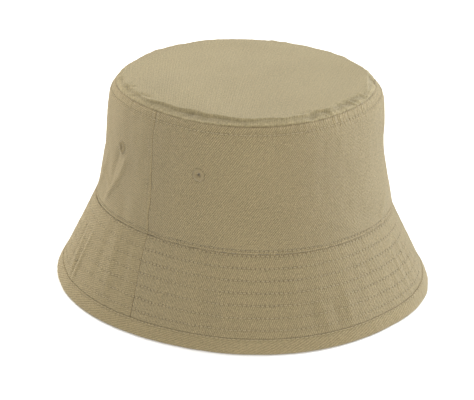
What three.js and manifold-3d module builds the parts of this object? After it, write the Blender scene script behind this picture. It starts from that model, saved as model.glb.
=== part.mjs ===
// A bucket hat sewn from cotton drill, standing on the edge of its brim.
// Millimetres, +Z up, the front of the hat towards -Y and the wearer's left towards +X.
// The origin is on the surface the hat stands on, under the middle of the crown.
//
// Every fabric piece is a sheet of even thickness that follows the same family of ovals, so most
// pieces are one section swept round the hat: a whole turn, or half a turn between the side seams.

import * as THREE from 'three';
import { mergeVertices } from 'three/addons/utils/BufferGeometryUtils.js';
import Module from 'manifold-3d';

const wasm = await Module();
wasm.setup();

// ---- driving dimensions ----

const SEGMENTS = 60;          // facets in a whole turn of the hat
const SMALL_SEGMENTS = 16;    // facets in a whole turn of an eyelet
const ROUNDNESS = 2.15;       // exponent of the ovals: 2 is an ellipse, more is squarer

// Half width (X), half length (Y) and height of the three lines that shape the hat.
const TIP_SEAM = { a: 82, b: 87.5, z: 134 };        // the top panel meets the side panels
const HEAD_SEAM = { a: 92.2, b: 98.6, z: 56 };      // the side panels meet the brim
const BRIM_FOOT = { a: 117.5, b: 125, z: 0 };       // the brim's upper face reaches the ground

const GAP = 0.3;              // between pieces that are sewn edge to edge
const PLY_GAP = 0.2;          // between sheets that lie on each other
const DRILL = 1.0;            // thickness of the crown's fabric
const BRIM_PLY = 0.7;         // thickness of each face of the brim
const STIFFENER = 0.5;        // thickness of the layer between them
const TAPE = 0.6;             // thickness of the seam tapes

const TIP_RISE = 3.8;         // the top panel's flat above the tip seam
const TIP_ROLL = 9;           // width of the rounded margin of the top panel
const TIP_EDGE = { inset: 0.07, rise: 0.45 };       // two corners of that margin, as shares of its
const TIP_SHOULDER = { inset: 0.4, rise: 0.85 };    // width and of its rise

const SWEATBAND_HEIGHT = 31;
const SWEATBAND_THICKNESS = 1.2;
const TIP_TAPE_HEIGHT = 6;
const SIDE_TAPE_WIDTH = 10;

const BINDING_WIDTH = 9.8;    // the edge strip's width on each face of the brim
const BINDING_THICKNESS = 0.7;
const BINDING_NOSE = 1.2;     // where its outer face turns under, short of the foot
const BINDING_HEEL = 3.2;     // where its inner face turns down to the ground
const BINDING_ROOM = 1.4;     // between the foot and the brim's other layers
const LAYER_START = 1;        // from the head seam to the brim's hidden layers

const BRIM_ROWS = 7;          // rows of quilting stitches round the brim
const FIRST_ROW = 1.3;        // from the head seam to the first row, along the brim
const ROW_PITCH = 7.65;       // from row to row
const THREAD = 0.5;           // thickness of a row's thread
const EDGE_STITCH = 1.4;      // from the binding's inner edge to its own stitching
const TIP_STITCH_DROP = 4.6;  // from the tip seam down to the crown's upper stitching
const HEM_STITCH_RISE = 2.2;  // from the head seam up to the crown's lower stitching
const SIDE_STITCH_SHIFT = 3.8;  // from each side seam to the row of stitches behind it
const SIDE_STITCH_MARGIN = 2;   // from the ends of that row to the rows above and below it

const EYELET_ANGLE = 22;      // to either side of each side seam, in degrees
const EYELET_HEIGHT = 102.2;  // above the ground
const EYELET_BORE = 1.2;      // radius of the hole
const EYELET_SLEEVE = 1.9;    // radius where the eyelet passes through the fabric
const EYELET_RIM = 4.0;       // radius of the embroidered rim outside
const EYELET_BACK = 3.4;      // and inside
const EYELET_RISE = 0.8;      // height of the rim over the fabric
const EYELET_BEVEL = 0.3;
const EYELET_BACKING = 0.5;   // thickness of its edge inside
const DRILL_REACH = 8;        // length of the cutter that makes its hole

// The care label's clearance is more than its straight width takes out of the band's curve.
const LABEL = { width: 26, length: 27, leaf: 0.35, slit: 0.4, clearance: 1.6, drop: 1.5 };

// ---- colours ----

const fabric = (name, colour, roughness = 0.95) =>
  new THREE.MeshStandardMaterial({ name, color: colour, roughness, metalness: 0 });

const drill = fabric('drill', 0xac9d7a);
const bandCloth = fabric('band_cloth', 0xa39474);
const tapeCloth = fabric('tape_cloth', 0x9f9070);
const stiffenerCloth = fabric('stiffener_cloth', 0xe4e1d8);
const thread = fabric('thread', 0xb4a684, 0.8);
const labelSatin = fabric('label_satin', 0xeeebe2, 0.6);

// ---- the family of ovals ----

const FULL_TURN = Math.PI * 2;
const QUARTER = Math.PI / 2;
const lerp = THREE.MathUtils.lerp;
const degToRad = THREE.MathUtils.degToRad;

// A point of an oval. The angle is 0 at the front and a quarter turn at the wearer's left.
function ovalPoint({ a, b, z }, angle) {
  const across = Math.abs(Math.sin(angle)) / a;
  const along = Math.abs(Math.cos(angle)) / b;
  const radius = (across ** ROUNDNESS + along ** ROUNDNESS) ** (-1 / ROUNDNESS);
  return new THREE.Vector3(radius * Math.sin(angle), -radius * Math.cos(angle), z);
}

// The line on a cone between two ovals, at a height, a depth inside its outer face.
function atHeight(top, bottom, z, depth = 0) {
  const t = (top.z - z) / (top.z - bottom.z);
  return { a: lerp(top.a, bottom.a, t) - depth, b: lerp(top.b, bottom.b, t) - depth, z };
}

const crown = (z, depth = 0) => atHeight(TIP_SEAM, HEAD_SEAM, z, depth);

// The brim's section leans out at a steady slope. Along it, `run` is measured down the upper face
// from the head seam, and `out` away from that face: a negative `out` is inside the brim.
const brimSpread = (BRIM_FOOT.a - HEAD_SEAM.a + BRIM_FOOT.b - HEAD_SEAM.b) / 2;
const BRIM_RUN = Math.hypot(brimSpread, HEAD_SEAM.z);
const brimSlope = { out: brimSpread / BRIM_RUN, down: HEAD_SEAM.z / BRIM_RUN };

function brim(run, out = 0) {
  const z = HEAD_SEAM.z - run * brimSlope.down + out * brimSlope.out;
  const t = run / BRIM_RUN;
  const shift = out * brimSlope.down;
  return {
    a: lerp(HEAD_SEAM.a, BRIM_FOOT.a, t) + shift,
    b: lerp(HEAD_SEAM.b, BRIM_FOOT.b, t) + shift,
    z,
  };
}

// The brim line at ground level, `out` away from the upper face.
function brimGround(out) {
  return { ...brim((HEAD_SEAM.z + out * brimSlope.out) / brimSlope.down, out), z: 0 };
}

// ---- solids swept round the hat ----

function geometryFrom(positions, triangles) {
  const geometry = new THREE.BufferGeometry();
  geometry.setAttribute('position', new THREE.Float32BufferAttribute(positions, 3));
  geometry.setIndex(signedVolume(positions, triangles) < 0 ? flipped(triangles) : triangles);
  geometry.computeVertexNormals();
  return geometry;
}

function signedVolume(positions, triangles) {
  const corner = (index) => new THREE.Vector3().fromArray(positions, index * 3);
  let volume = 0;
  for (let i = 0; i < triangles.length; i += 3) {
    const [p, q, r] = [0, 1, 2].map((k) => corner(triangles[i + k]));
    volume += p.dot(q.cross(r)) / 6;
  }
  return volume;
}

function flipped(triangles) {
  const result = [];
  for (let i = 0; i < triangles.length; i += 3) {
    result.push(triangles[i], triangles[i + 2], triangles[i + 1]);
  }
  return result;
}

const sectionOutline = (section) => section.map(({ a, z }) => new THREE.Vector2(a, z));

// Sweep a closed section, given as ovals, through a list of angles.
function sweep(ovals, angles, closed) {
  const clockwise = THREE.ShapeUtils.isClockWise(sectionOutline(ovals));
  const section = clockwise ? ovals.toReversed() : ovals;
  const positions = angles.flatMap((angle) =>
    section.flatMap((oval) => ovalPoint(oval, angle).toArray()));
  const triangles = [];
  const size = section.length;
  const spans = closed ? angles.length : angles.length - 1;
  for (let i = 0; i < spans; i += 1) {
    const here = i * size;
    const next = ((i + 1) % angles.length) * size;
    for (let j = 0; j < size; j += 1) {
      const k = (j + 1) % size;
      triangles.push(here + j, next + j, next + k, here + j, next + k, here + k);
    }
  }
  if (!closed) {
    const last = (angles.length - 1) * size;
    for (const [p, q, r] of THREE.ShapeUtils.triangulateShape(sectionOutline(section), [])) {
      triangles.push(p, q, r, last + p, last + r, last + q);
    }
  }
  return geometryFrom(positions, triangles);
}

const wholeTurn = Array.from({ length: SEGMENTS }, (_, i) => (i * FULL_TURN) / SEGMENTS);

function ring(section) {
  return sweep(section, wholeTurn, true);
}

// Half a turn between the side seams, centred on the front (0) or on the rear (half a turn).
function half(section, middle) {
  const count = SEGMENTS / 2;
  const trim = GAP / 2 / HEAD_SEAM.a;
  const angles = Array.from({ length: count + 1 }, (_, i) => (i * Math.PI) / count - QUARTER);
  angles[0] += trim;
  angles[count] -= trim;
  return sweep(section, angles.map((angle) => angle + middle), false);
}

// A strip of a given width up the crown, centred on an angle.
function strip(section, middle, width) {
  const reach = width / 2 / crown(EYELET_HEIGHT).a;
  return sweep(section, [middle - reach, middle, middle + reach], false);
}

// A disc: the profile starts on the axis, goes out over the top and comes back underneath.
function disc(profile) {
  const [top, bottom] = [profile[0], profile[profile.length - 1]];
  const rims = profile.slice(1, -1);
  const positions = wholeTurn.flatMap((angle) =>
    rims.flatMap((oval) => ovalPoint(oval, angle).toArray()));
  const triangles = [];
  const size = rims.length;
  const centreTop = SEGMENTS * size;
  const centreBottom = centreTop + 1;
  positions.push(0, 0, top.z, 0, 0, bottom.z);
  for (let i = 0; i < SEGMENTS; i += 1) {
    const here = i * size;
    const next = ((i + 1) % SEGMENTS) * size;
    triangles.push(centreTop, here, next, centreBottom, next + size - 1, here + size - 1);
    for (let j = 0; j < size - 1; j += 1) {
      triangles.push(here + j, here + j + 1, next + j + 1, here + j, next + j + 1, next + j);
    }
  }
  return geometryFrom(positions, triangles);
}

// ---- boolean cuts ----

function toSolid(geometry) {
  const bare = geometry.clone();
  bare.deleteAttribute('normal');
  bare.deleteAttribute('uv');
  const merged = mergeVertices(bare, 1e-4);
  return new wasm.Manifold(new wasm.Mesh({
    numProp: 3,
    vertProperties: new Float32Array(merged.attributes.position.array),
    triVerts: new Uint32Array(merged.index.array),
  }));
}

function fromSolid(solid) {
  const { vertProperties, triVerts } = solid.getMesh();
  return geometryFrom(Array.from(vertProperties), Array.from(triVerts));
}

// ---- assembly ----

const hat = new THREE.Group();

function add(name, geometry, material) {
  const mesh = new THREE.Mesh(geometry, material);
  mesh.name = name;
  hat.add(mesh);
  return mesh;
}

// ---- eyelets: four embroidered ventilation holes, two beside each side seam ----

const eyeletPlaces = [
  ['eyelet_left_front', QUARTER - degToRad(EYELET_ANGLE)],
  ['eyelet_left_rear', QUARTER + degToRad(EYELET_ANGLE)],
  ['eyelet_right_front', -QUARTER + degToRad(EYELET_ANGLE)],
  ['eyelet_right_rear', -QUARTER - degToRad(EYELET_ANGLE)],
].map(([name, angle]) => ({ name, angle, ...crownFrame(angle, EYELET_HEIGHT) }));

// A place on the crown's outer face, and the turn that lays +Z along the outward normal there.
function crownFrame(angle, height) {
  const step = 1e-3;
  const around = ovalPoint(crown(height), angle + step).sub(ovalPoint(crown(height), angle - step));
  const up = ovalPoint(crown(height + 1), angle).sub(ovalPoint(crown(height - 1), angle));
  const normal = around.cross(up).normalize();
  return {
    position: ovalPoint(crown(height), angle),
    quaternion: new THREE.Quaternion().setFromUnitVectors(new THREE.Vector3(0, 0, 1), normal),
  };
}

function eyeletGeometry() {
  const inside = -DRILL - GAP;
  const back = inside - EYELET_BACKING;
  const halfway = GAP + EYELET_RISE / 2;
  const profile = [
    [EYELET_BORE, back], [EYELET_BACK, back], [EYELET_BACK, inside],
    [EYELET_SLEEVE, inside], [EYELET_SLEEVE, GAP], [EYELET_RIM, GAP],
    [EYELET_RIM - EYELET_BEVEL, halfway], [(EYELET_RIM + EYELET_SLEEVE) / 2, GAP + EYELET_RISE],
    [EYELET_SLEEVE, halfway], [EYELET_BORE, 0], [EYELET_BORE, back],
  ].map(([r, z]) => new THREE.Vector2(r, z));
  const turned = new THREE.LatheGeometry(profile, SMALL_SEGMENTS);
  turned.rotateX(QUARTER);
  turned.deleteAttribute('normal');
  turned.deleteAttribute('uv');
  const welded = mergeVertices(turned, 1e-4);
  return geometryFrom(Array.from(welded.attributes.position.array), Array.from(welded.index.array));
}

for (const { name, position, quaternion } of eyeletPlaces) {
  const eyelet = add(name, eyeletGeometry(), thread);
  eyelet.position.copy(position);
  eyelet.quaternion.copy(quaternion);
}

// A drill through the crown's fabric at each eyelet, wider than its sleeve by the gap.
function pierced(geometry) {
  return fromSolid(eyeletPlaces.reduce((solid, { position, quaternion }) => {
    const radius = EYELET_SLEEVE + GAP;
    const bit = new THREE.CylinderGeometry(radius, radius, DRILL_REACH, SMALL_SEGMENTS);
    bit.rotateX(QUARTER).applyQuaternion(quaternion).translate(...position);
    return solid.subtract(toSolid(bit));
  }, toSolid(geometry)));
}

// ---- crown: a top panel with a rounded margin, and two side panels ----

const tipMargin = (inset, rise) => ({
  a: TIP_SEAM.a - inset,
  b: TIP_SEAM.b - inset,
  z: TIP_SEAM.z + rise,
});
const tipCorner = (share, depth = 0) =>
  tipMargin(TIP_ROLL * share.inset + depth / 2, TIP_RISE * share.rise - depth);
const tipCentre = (depth) => ({ a: 0, b: 0, z: TIP_SEAM.z + TIP_RISE - depth });

add('crown_tip', disc([
  tipCentre(0), tipMargin(TIP_ROLL, TIP_RISE), tipCorner(TIP_SHOULDER), tipCorner(TIP_EDGE),
  tipMargin(0, GAP), tipMargin(DRILL, GAP),
  tipCorner(TIP_SHOULDER, DRILL), tipMargin(TIP_ROLL, TIP_RISE - DRILL), tipCentre(DRILL),
]), drill);

const crownMiddle = (TIP_SEAM.z + HEAD_SEAM.z) / 2;
const crownSection = [
  crown(HEAD_SEAM.z), crown(crownMiddle), crown(TIP_SEAM.z),
  crown(TIP_SEAM.z, DRILL), crown(crownMiddle, DRILL), crown(HEAD_SEAM.z, DRILL),
];
add('crown_side_front', pierced(half(crownSection, 0)), drill);
add('crown_side_rear', pierced(half(crownSection, Math.PI)), drill);

// ---- inside the crown: the sweatband and the tapes over the seams ----

const LINING_DEPTH = DRILL + GAP;
const bandBottom = HEAD_SEAM.z + GAP;
const bandTop = bandBottom + SWEATBAND_HEIGHT;

// A flat band against the inside of the crown, between two heights.
const bandSection = (bottom, top, thickness) => [
  crown(bottom, LINING_DEPTH), crown(top, LINING_DEPTH),
  crown(top, LINING_DEPTH + thickness), crown(bottom, LINING_DEPTH + thickness),
];

add('sweatband', ring(bandSection(bandBottom, bandTop, SWEATBAND_THICKNESS)), bandCloth);

const tipTapeTop = TIP_SEAM.z - GAP;
const tipTapeBottom = tipTapeTop - TIP_TAPE_HEIGHT;
add('tip_seam_tape', ring(bandSection(tipTapeBottom, tipTapeTop, TAPE)), tapeCloth);

const sideTape = bandSection(bandTop + GAP, tipTapeBottom - GAP, TAPE);
for (const [side, angle] of [['left', QUARTER], ['right', -QUARTER]]) {
  add(`side_seam_tape_${side}`, strip(sideTape, angle, SIDE_TAPE_WIDTH), tapeCloth);
}

// ---- brim: two faces in front and rear halves, a stiffener between, and a bound edge ----

const brimEnd = BRIM_RUN - BINDING_THICKNESS - PLY_GAP - BINDING_ROOM;
const upperIn = -BRIM_PLY;
const stiffenerOut = upperIn - PLY_GAP;
const stiffenerIn = stiffenerOut - STIFFENER;
const underOut = stiffenerIn - PLY_GAP;
const underIn = underOut - BRIM_PLY;

// One layer of the brim, from a face at `outer` to a face at `inner`.
const layer = (outer, inner, start, end) =>
  [brim(start, outer), brim(end, outer), brim(end, inner), brim(start, inner)];

const upperFace = layer(0, upperIn, GAP, brimEnd);
add('brim_upper_front', half(upperFace, 0), drill);
add('brim_upper_rear', half(upperFace, Math.PI), drill);

const stiffener = layer(stiffenerOut, stiffenerIn, LAYER_START, brimEnd);
add('brim_stiffener', ring(stiffener), stiffenerCloth);

const underFace = layer(underOut, underIn, LAYER_START, brimEnd);
add('brim_under_front', half(underFace, 0), drill);
add('brim_under_rear', half(underFace, Math.PI), drill);

const bindingStart = BRIM_RUN - BINDING_WIDTH;
const bindingIn = underIn - PLY_GAP;
add('brim_edge_binding', ring([
  brim(bindingStart, PLY_GAP + BINDING_THICKNESS),
  brim(BRIM_RUN - BINDING_NOSE, PLY_GAP + BINDING_THICKNESS),
  brimGround(PLY_GAP),
  brimGround(bindingIn + PLY_GAP),
  brim(BRIM_RUN - BINDING_HEEL, bindingIn - BINDING_THICKNESS),
  brim(bindingStart, bindingIn - BINDING_THICKNESS),
  brim(bindingStart, bindingIn),
  brim(brimEnd + PLY_GAP, bindingIn),
  brim(brimEnd + PLY_GAP, PLY_GAP),
  brim(bindingStart, PLY_GAP),
]), drill);

// ---- stitching: each row is one thread that goes round the hat ----

// A square thread section around a point of the brim or the crown.
const square = (at) => [at(-1, -1), at(1, -1), at(1, 1), at(-1, 1)];
const side = THREAD / 2;

const brimThread = (run, out) =>
  ring(square((i, j) => brim(run + i * side, out + GAP + side + j * side)));
const crownThread = (height) =>
  ring(square((i, j) => crown(height + i * side, -GAP - side + j * side)));

for (let row = 0; row < BRIM_ROWS; row += 1) {
  add(`brim_stitch_row_${row + 1}`, brimThread(FIRST_ROW + row * ROW_PITCH, 0), thread);
}
const bindingFace = PLY_GAP + BINDING_THICKNESS;
add('binding_stitching', brimThread(bindingStart + EDGE_STITCH, bindingFace), thread);
add('crown_upper_stitching', crownThread(TIP_SEAM.z - TIP_STITCH_DROP), thread);
add('crown_lower_stitching', crownThread(HEAD_SEAM.z + HEM_STITCH_RISE), thread);

// Behind each side seam a short row runs up the crown and holds the seam allowance flat.
const sideRowBottom = HEAD_SEAM.z + HEM_STITCH_RISE + SIDE_STITCH_MARGIN;
const sideRowTop = TIP_SEAM.z - TIP_STITCH_DROP - SIDE_STITCH_MARGIN;
const sideRow = [
  crown(sideRowBottom, -GAP), crown(sideRowTop, -GAP),
  crown(sideRowTop, -GAP - THREAD), crown(sideRowBottom, -GAP - THREAD),
];
const sideShift = SIDE_STITCH_SHIFT / crown(EYELET_HEIGHT).a;
add('side_stitching_left', strip(sideRow, QUARTER + sideShift, THREAD), thread);
add('side_stitching_right', strip(sideRow, -QUARTER - sideShift, THREAD), thread);

// ---- care label: a folded tab, sewn by its top to the sweatband at the rear, hanging free ----

const labelTop = bandTop - LABEL.drop;
const labelThickness = LABEL.leaf * 2 + LABEL.slit;
const bandFace = crown(labelTop, LINING_DEPTH + SWEATBAND_THICKNESS).b;
const labelY = bandFace - LABEL.clearance - labelThickness / 2;

// The tab seen from the side: two leaves that part at the top and meet in the fold below.
function labelProfile() {
  const outer = labelThickness / 2;
  const inner = LABEL.slit / 2;
  const shape = new THREE.Shape();
  shape.moveTo(-outer, 0);
  shape.lineTo(-outer, -LABEL.length + outer);
  shape.absarc(0, -LABEL.length + outer, outer, Math.PI, FULL_TURN, false);
  shape.lineTo(outer, 0);
  shape.lineTo(inner, 0);
  shape.lineTo(inner, -LABEL.length + outer);
  shape.lineTo(-inner, -LABEL.length + outer);
  shape.lineTo(-inner, 0);
  shape.closePath();
  return shape;
}

const labelGeometry = new THREE.ExtrudeGeometry(labelProfile(), {
  depth: LABEL.width, bevelEnabled: false, curveSegments: 6,
});
labelGeometry.translate(0, 0, -LABEL.width / 2);
const label = add('care_label', labelGeometry, labelSatin);
label.quaternion.setFromAxisAngle(new THREE.Vector3(1, 1, 1).normalize(), FULL_TURN / 3);
label.position.set(0, labelY, labelTop);

export default hat;
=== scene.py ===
"""A bucket hat in khaki cotton drill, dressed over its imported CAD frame.

Lengths here are in millimetres, and new_object() turns them into Blender's metres. A place on the
hat is an angle round it (0 at the front, a quarter turn at the wearer's left) and a distance along
its section, from the middle of the top panel outwards and down. `out` is a height above the cloth.
"""

import math

import bpy
import numpy as np
from mathutils import Matrix, Vector


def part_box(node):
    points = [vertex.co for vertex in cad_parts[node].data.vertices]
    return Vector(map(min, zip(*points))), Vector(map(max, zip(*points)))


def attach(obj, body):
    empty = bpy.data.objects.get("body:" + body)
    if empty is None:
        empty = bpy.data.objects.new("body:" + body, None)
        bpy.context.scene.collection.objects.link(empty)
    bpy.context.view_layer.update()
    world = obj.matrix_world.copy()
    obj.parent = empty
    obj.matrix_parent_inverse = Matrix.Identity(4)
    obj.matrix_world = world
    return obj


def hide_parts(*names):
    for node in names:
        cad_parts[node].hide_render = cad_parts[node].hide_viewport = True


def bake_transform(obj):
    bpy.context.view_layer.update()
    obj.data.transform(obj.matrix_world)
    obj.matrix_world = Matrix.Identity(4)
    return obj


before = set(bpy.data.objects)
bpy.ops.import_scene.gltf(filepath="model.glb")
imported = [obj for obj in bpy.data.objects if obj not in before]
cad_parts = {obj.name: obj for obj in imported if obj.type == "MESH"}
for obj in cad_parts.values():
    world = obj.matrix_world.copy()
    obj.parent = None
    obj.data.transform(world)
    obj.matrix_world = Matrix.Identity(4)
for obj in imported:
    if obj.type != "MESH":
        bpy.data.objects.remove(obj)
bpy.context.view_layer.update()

MM = 1000.0
TURN = 2 * math.pi
QUARTER = math.pi / 2

# -------- sizes, from the frame


def box(node):
    """Lowest and highest corner of a CAD node, in millimetres."""
    low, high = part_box(node)
    return np.array(low) * MM, np.array(high) * MM


def middle(node):
    low, high = box(node)
    return (low + high) / 2


tip_high = box("crown_tip")[1]
side_low, side_high = box("crown_side_front")
foot_high = box("brim_edge_binding")[1]
band_low, band_high = box("sweatband")
tape_low, tape_high = box("tip_seam_tape")
label_low, label_high = box("care_label")

ROUNDNESS = 2.15                     # exponent of the ovals, as in the CAD
TIP_A, TIP_B, TIP_Z = tip_high[0], tip_high[1], side_high[2]       # the tip seam
HEAD_A, HEAD_B, HEAD_Z = side_high[0], -side_low[1], side_low[2]   # the head seam
FOOT_A, FOOT_B = foot_high[0], foot_high[1]                        # the brim's foot, at z = 0
TOP_Z = tip_high[2]                  # the flat of the top panel

BRIM_SPREAD = (FOOT_A - HEAD_A + FOOT_B - HEAD_B) / 2
BRIM_RUN = math.hypot(BRIM_SPREAD, HEAD_Z)
BRIM_DOWN = HEAD_Z / BRIM_RUN
BRIM_OUT = BRIM_SPREAD / BRIM_RUN
CROWN_DEPTH = TIP_Z - HEAD_Z
MEAN_R = (HEAD_A + HEAD_B) / 2       # turns angles into arc lengths on the crown
BRIM_R = MEAN_R + BRIM_SPREAD / 2    # the same halfway down the brim
FOOT_R = MEAN_R + BRIM_SPREAD        # and at its foot

QUILT_ROWS = [(HEAD_Z - middle(f"brim_stitch_row_{k}")[2]) / BRIM_DOWN for k in range(1, 8)]
EDGE_ROW = (HEAD_Z - middle("binding_stitching")[2]) / BRIM_DOWN
UPPER_ROW = TIP_Z - middle("crown_upper_stitching")[2]     # below the tip seam
LOWER_ROW = middle("crown_lower_stitching")[2] - HEAD_Z    # above the head seam
BINDING = foot_high[2] / BRIM_DOWN - 0.6                   # width of the binding on the brim

CROWN_CLOTH = 0.8                    # thickness of one layer of drill in the crown
BRIM_CLOTH = 0.7
BRIM_THICK = 2.3                     # both faces and the stiffener
STITCH = 2.9                         # stitch length, from one needle hole to the next
THREAD_START, THREAD_LONG = 0.07, 0.86   # the part of it that the thread takes up
SIDE_ROW = 3.8                       # from a side seam to the row of stitches behind it

# -------- small helpers


def smooth(x):
    x = np.clip(x, 0, 1)
    return x * x * (3 - 2 * x)


def bell(x, width):
    return np.exp(-((x / width) ** 2))


def turn_from(t, centre):
    """Signed angle from `centre` to t, at most half a turn."""
    return (np.asarray(t) - centre + math.pi) % TURN - math.pi


def deg(x):
    return math.radians(x)


def hump(t, centre, width):
    """A bell round the hat at `centre` degrees; `width` is in radians."""
    return bell(turn_from(t, deg(centre)), width)


def pairs(first, second):
    """Every position of `first` with every one of `second`, as two grids."""
    return np.meshgrid(first, second, indexing="ij")


def ripples(seed, count, around, wavelength):
    """A smooth random relief: `around` is its range of waves in a turn, `wavelength` the shortest
    one along the section, in millimetres. It repeats after a turn and averages 0, with spread 1."""
    rng = np.random.default_rng(seed)
    turns = rng.integers(around[0], around[1] + 1, count)
    slants = rng.uniform(-1, 1, count) * TURN / wavelength
    phases = rng.uniform(0, TURN, count)

    def relief(t, y):
        total = 0.0
        for n, slant, phase in zip(turns, slants, phases):
            total += np.cos(n * t + slant * y + phase)
        return total / math.sqrt(count / 2)

    return relief


def graded(start, end, step, marks=(), fine=0.35, growth=0.35):
    """Positions from start to end, `step` apart but closing up to `fine` near each mark."""
    spots = [start]
    while spots[-1] < end:
        here = spots[-1]
        near = min((abs(here - m) for m in marks), default=1e9)
        ahead = min((abs(here + fine - m) for m in marks), default=1e9)
        spots.append(here + min(step, fine + growth * min(near, ahead)))
    spots = np.array(spots[:-1])
    return np.append(spots[spots < end - fine / 2], end)


def lobes(t, count, centre, height):
    """A smooth wave round the hat with `count` crests, one of them at `centre` degrees."""
    return height * np.cos(count * turn_from(t, deg(centre)))


def creased(out, creases, t, y, radius=MEAN_R):
    """`out` with soft ridges added, or grooves where the height is negative. A crease says where it
    starts and ends, as degrees and distance along the section, then its width and height."""
    for t0, y0, t1, y1, width, height in creases:
        x = turn_from(t, deg(t0)) * radius
        dx, dy = turn_from(deg(t1), deg(t0)) * radius, y1 - y0
        long = math.hypot(dx, dy)
        along = (x * dx + (y - y0) * dy) / long ** 2
        across = (x * dy - (y - y0) * dx) / long
        ends = smooth((along + 0.25) / 0.5) * smooth((1.25 - along) / 0.5)
        out = out + height * bell(across, width) * ends
    return out


# -------- the hat's surfaces


def oval(a, b, t):
    across = np.abs(np.sin(t)) / a
    along = np.abs(np.cos(t)) / b
    radius = (across ** ROUNDNESS + along ** ROUNDNESS) ** (-1 / ROUNDNESS)
    return radius * np.sin(t), -radius * np.cos(t)


def outward(a, b, t):
    """The level direction square to the oval, as x and y."""
    x, y = oval(a, b, t)
    nx = np.sign(x) * np.abs(x) ** (ROUNDNESS - 1) / a ** ROUNDNESS
    ny = np.sign(y) * np.abs(y) ** (ROUNDNESS - 1) / b ** ROUNDNESS
    size = np.hypot(nx, ny)
    return nx / size, ny / size


def points(a, b, z, t, push):
    x, y = oval(a, b, t)
    nx, ny = outward(a, b, t)
    return np.stack(np.broadcast_arrays(x + nx * push, y + ny * push, z), -1)


# How the whole hat leans and slumps: every layer follows these. A lift is a change of height and
# a shift is one across the wall.

crown_swell = ripples(3, 14, (2, 7), 150)
crown_dent = ripples(4, 26, (6, 22), 45)
TIP_LIFT = 2.1


def tip_lift(t):
    droop = 1.9 * hump(t, -157, 0.7) + 0.8 * hump(t, 140, 0.8)
    return TIP_LIFT + lobes(t, 1, -73, 2.1) + lobes(t, 2, 59, 0.5) - droop


def tip_shift(t):
    return -0.8 + lobes(t, 2, -82, 1.8) + lobes(t, 1, 90, 0.9) + lobes(t, 3, 47, 0.7)


def head_lift(t):
    return -2.1 + lobes(t, 1, -74, 3.4)


def head_shift(t):
    return lobes(t, 2, 39, 1.8) + lobes(t, 1, -34, 0.8) + 0.6 * hump(t, 30, 0.4)


def foot_shift(t):
    local = 2.2 * hump(t, 17, 0.3) - 1.2 * hump(t, -77, 0.35)
    return 0.9 + lobes(t, 3, 11, 2.7) + lobes(t, 1, -171, 0.9) + local


# Creases: degrees and distance where each starts, the same where it ends, then width and height.

CROWN_CREASES = [
    (-107.5, 38, -112, 51, 2.4, 0.9),
    (-112, 51, -121, 70, 2.6, 1.2),
    (-114, 34, -119, 54, 3.4, -1.0),
    (-136, 56, -120, 62, 2.2, 0.9),
    (-128, 44, -136, 74, 3.4, 0.8),
    (-107, 60, -104, 74, 6.0, -0.7),
    (-146, 46, -152, 76, 5.5, 0.9),
    (36, 6, 28, 26, 3.0, 0.7),
    (22, 60, 14, 74, 3.0, 0.5),
    (60, 40, 40, 72, 7.0, 0.9),
    (120, 30, 112, 70, 4.0, 0.8),
    (150, 30, 135, 66, 6.0, 1.0),
    (-20, 60, 8, 74, 5.0, 0.4),
    (-74, 14, -58, 20, 5.0, -0.4),
]
BRIM_CREASES = [
    (-119.7, 18, -119.3, 49, 1.3, 0.85),
    (-122, 14, -121, 48, 1.1, -0.6),
    (-125.3, 22, -122, 48, 1.3, 0.8),
    (-128, 12, -126.5, 46, 1.4, -0.5),
    (-133, 8, -135, 44, 3.5, 0.6),
    (-104.5, 8, -102, 46, 3.2, 0.8),
    (-110, 8, -108.5, 46, 3.4, -0.6),
    (-97, 10, -96, 44, 3.0, -0.4),
    (-59, 16, -53.5, 48, 2.4, 0.7),
    (-64, 20, -60, 50, 4.0, -0.5),
    (-48, 22, -47, 50, 4.0, -0.4),
    (-26.5, 34, -26, 52, 2.4, -0.5),
    (-23, 32, -22, 52, 2.4, 0.6),
    (-19, 34, -18, 50, 2.2, -0.6),
    (-14, 26, -13.5, 50, 2.6, 0.5),
    (9, 30, 10, 52, 1.6, 0.4),
    (13, 22, 14, 52, 1.3, 0.7),
    (15.5, 20, 16, 50, 1.2, -0.6),
    (19, 14, 19, 48, 1.4, 0.7),
    (22, 16, 22, 50, 1.3, -0.6),
    (26, 14, 27, 48, 2.0, 0.5),
    (95, 10, 99, 46, 3.0, 0.6),
    (150, 14, 146, 48, 2.4, -0.5),
    (176, 20, 178, 50, 4.0, 0.5),
]


def crown_sag(t, down):
    """How far the crown's wall stands out of its cone, `down` millimetres below the tip seam."""
    bulge = 1.5 + 2.6 * hump(t, 40, 0.5) + 0.9 * hump(t, -142, 0.5)
    out = bulge * smooth(down / 7) * smooth((46 - down) / 38)
    out -= 1.6 * hump(t, -135, 0.5) * bell(down - 55, 22)
    calm = smooth(down / 14) * smooth((CROWN_DEPTH - down) / 14)
    out += (0.45 * crown_swell(t, down) + 0.12 * crown_dent(t, down)) * calm
    return creased(out, CROWN_CREASES, t, down)


def crown_twist(t, down):
    """The side seams waver a little on their way down."""
    waver = np.sin(down / 8 + 1) + 0.6 * np.sin(down / 3.7)
    beside = bell(turn_from(t, QUARTER), 0.12) + bell(turn_from(t, -QUARTER), 0.12)
    return 0.4 / MEAN_R * waver * beside * smooth(down / 8) * smooth((CROWN_DEPTH - down) / 8)


def crown_point(t, down, out=0.0):
    """A point of the side wall, `down` below the tip seam."""
    t = t + crown_twist(t, down)
    share = down / CROWN_DEPTH
    a = TIP_A + (HEAD_A - TIP_A) * share
    b = TIP_B + (HEAD_B - TIP_B) * share
    z = TIP_Z - down + tip_lift(t) * (1 - share) + head_lift(t) * share
    shift = tip_shift(t) * (1 - share) + head_shift(t) * share
    return points(a, b, z, t, crown_sag(t, down) + shift + out)


# The brim hangs from the head seam and stands on its foot.

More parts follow.
